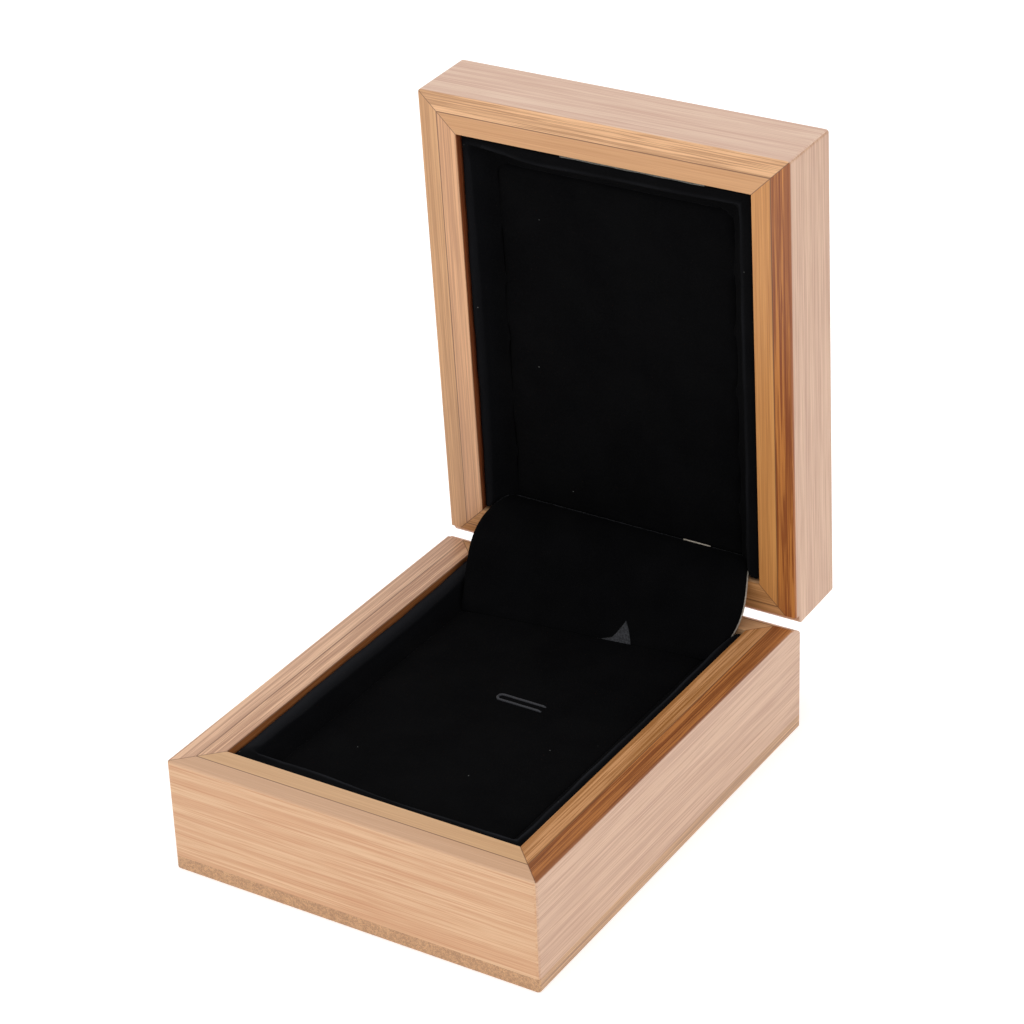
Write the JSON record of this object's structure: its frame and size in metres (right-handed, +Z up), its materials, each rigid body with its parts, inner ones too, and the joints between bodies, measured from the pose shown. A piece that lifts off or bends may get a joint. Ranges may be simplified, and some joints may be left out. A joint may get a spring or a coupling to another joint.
{
  "type": "hinged jewellery box",
  "caption": "Hinged bamboo gift box for a ring or pendant, lid open, with dished black velvet pads, a small elastic loop and a flap over a snap hinge.",
  "frame": {"origin": "middle of the underside of the base", "axes": "+Z up through the base; +Y towards the hinge at the back; +X to the right seen from the front"},
  "size_m": [0.08, 0.1139, 0.1239],
  "materials": {
    "bamboo": "satin",
    "bamboo_liner": "satin",
    "bamboo_panel": "satin",
    "black_velvet": "matte",
    "foam": "matte",
    "grey_card": "matte",
    "elastic_cord": "satin",
    "plated_steel": "satin",
    "spring_steel": "satin",
    "nail_steel": "satin"
  },
  "bodies": {
    "base": {"base_border": "black_velvet", "base_border_card": "grey_card", "base_bottom_panel": "bamboo_panel", "base_hinge_leaf": "plated_steel", "base_hinge_nails": "nail_steel", "base_liner_back": "bamboo_liner", "base_liner_front": "bamboo_liner", "base_liner_left": "bamboo_liner", "base_liner_right": "bamboo_liner", "base_pad_board": "grey_card", "base_pad_foam": "foam", "base_pad_velvet": "black_velvet", "base_wall_back": "bamboo", "base_wall_front": "bamboo", "base_wall_left": "bamboo", "base_wall_right": "bamboo", "flap_card": "grey_card", "flap_velvet": "black_velvet", "hinge_pin": "plated_steel", "hinge_spring": "spring_steel", "pad_loop": "elastic_cord"},
    "lid": {"lid_border": "black_velvet", "lid_border_card": "grey_card", "lid_hinge_leaf": "plated_steel", "lid_hinge_nails": "nail_steel", "lid_liner_back": "bamboo_liner", "lid_liner_front": "bamboo_liner", "lid_liner_left": "bamboo_liner", "lid_liner_right": "bamboo_liner", "lid_pad_board": "grey_card", "lid_pad_foam": "foam", "lid_pad_velvet": "black_velvet", "lid_top_panel": "bamboo_panel", "lid_wall_back": "bamboo", "lid_wall_front": "bamboo", "lid_wall_left": "bamboo", "lid_wall_right": "bamboo"}
  },
  "joints": [
    {"name": "lid_hinge", "type": "hinge", "parent": "base", "child": "lid", "pos_m": [0, 0.0486, 0.0248], "axis": [1, 0, 0], "range_deg": [0, 87.6], "deforming": ["flap_card", "flap_velvet", "hinge_spring"]}
  ]
}
